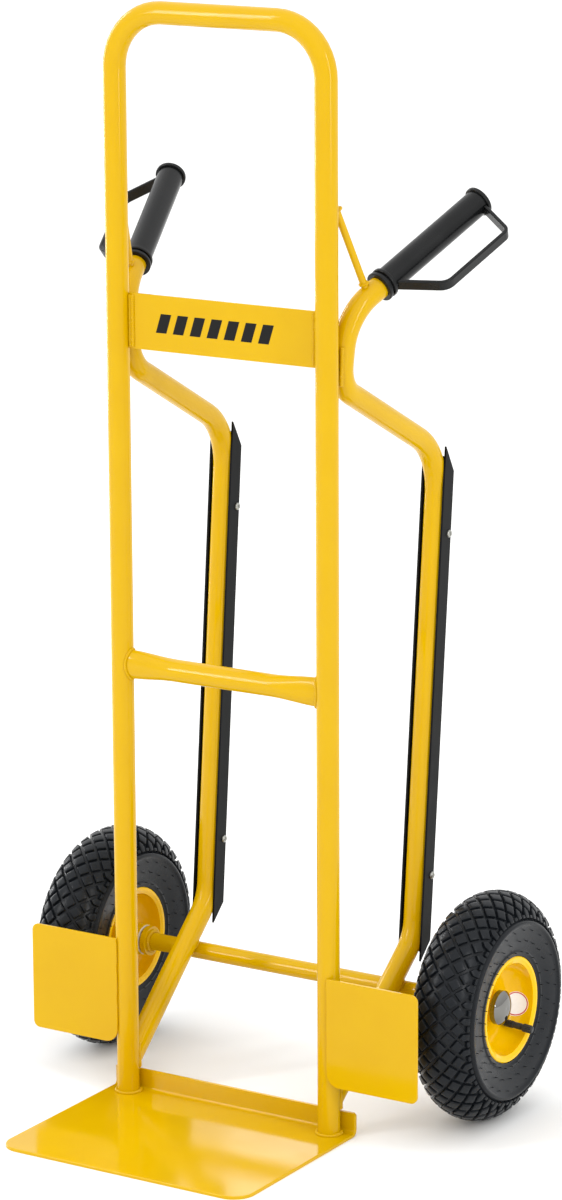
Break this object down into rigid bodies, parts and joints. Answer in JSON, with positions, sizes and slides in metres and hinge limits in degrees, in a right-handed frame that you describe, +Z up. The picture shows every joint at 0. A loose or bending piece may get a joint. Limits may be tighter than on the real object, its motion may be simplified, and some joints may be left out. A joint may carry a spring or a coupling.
{
  "type": "hand truck",
  "caption": "Upright two-wheeled hand truck: welded tube frame, flat toe plate, pneumatic wheels on a fixed axle, stair glides and guarded hand grips.",
  "frame": {"origin": "on the ground at the toe plate's underside, midway between the uprights' centre lines", "axes": "+Z up, the toe plate points to -Y, the wheels stand towards +Y, +X is the side on the right when seen from the toe plate"},
  "size_m": [0.581, 0.4957, 1.2335],
  "materials": {
    "powder_coat": "glossy yellow powder coat on steel tube and plate",
    "rim_coat": "glossy yellow powder coat on pressed sheet",
    "axle_steel": "glossy yellow powder coat on bar, bare inside the wheels",
    "zinc_steel": "zinc plated",
    "screw_steel": "dull zinc plated",
    "cap_chrome": "bright plated pressed sheet",
    "grip_plastic": "satin black",
    "glide_plastic": "satin black, extruded",
    "cap_plastic": "black",
    "bush_nylon": "natural nylon",
    "tyre_rubber": "black, moulded",
    "butyl": "black, thin wall",
    "valve_rubber": "black"
  },
  "bodies": {
    "frame": {"front_frame": "powder_coat", "toe_plate": "powder_coat", "cross_bar": "powder_coat", "name_plate": "powder_coat", "axle": "axle_steel", "weld_beads": "powder_coat", "rear_tube_right": "powder_coat", "rear_tube_left": "powder_coat", "brace_rod_right": "powder_coat", "brace_rod_left": "powder_coat", "wheel_guard_right": "powder_coat", "wheel_guard_left": "powder_coat", "axle_stop_right": "powder_coat", "axle_stop_left": "powder_coat", "thrust_washer_right": "zinc_steel", "thrust_washer_left": "zinc_steel", "axle_cap_right": "cap_chrome", "axle_cap_left": "cap_chrome", "grip_right": "grip_plastic", "grip_left": "grip_plastic", "glide_right": "glide_plastic", "glide_left": "glide_plastic", "glide_screws_right": "screw_steel", "glide_screws_left": "screw_steel"},
    "wheel_right": {"tyre_right": "tyre_rubber", "inner_tube_right": "butyl", "rim_outer_right": "rim_coat", "rim_inner_right": "rim_coat", "hub_right": "rim_coat", "bush_inner_right": "bush_nylon", "bush_outer_right": "bush_nylon", "valve_stem_right": "valve_rubber", "valve_cap_right": "cap_plastic"},
    "wheel_left": {"tyre_left": "tyre_rubber", "inner_tube_left": "butyl", "rim_outer_left": "rim_coat", "rim_inner_left": "rim_coat", "hub_left": "rim_coat", "bush_inner_left": "bush_nylon", "bush_outer_left": "bush_nylon", "valve_stem_left": "valve_rubber", "valve_cap_left": "cap_plastic"}
  },
  "joints": [
    {"name": "wheel_right_spin", "type": "hinge", "parent": "frame", "child": "wheel_right", "pos_m": [0.2489, 0.14675, 0.129], "axis": [1, 0, 0], "continuous": true},
    {"name": "wheel_left_spin", "type": "hinge", "parent": "frame", "child": "wheel_left", "pos_m": [-0.2489, 0.14675, 0.129], "axis": [1, 0, 0], "continuous": true}
  ]
}
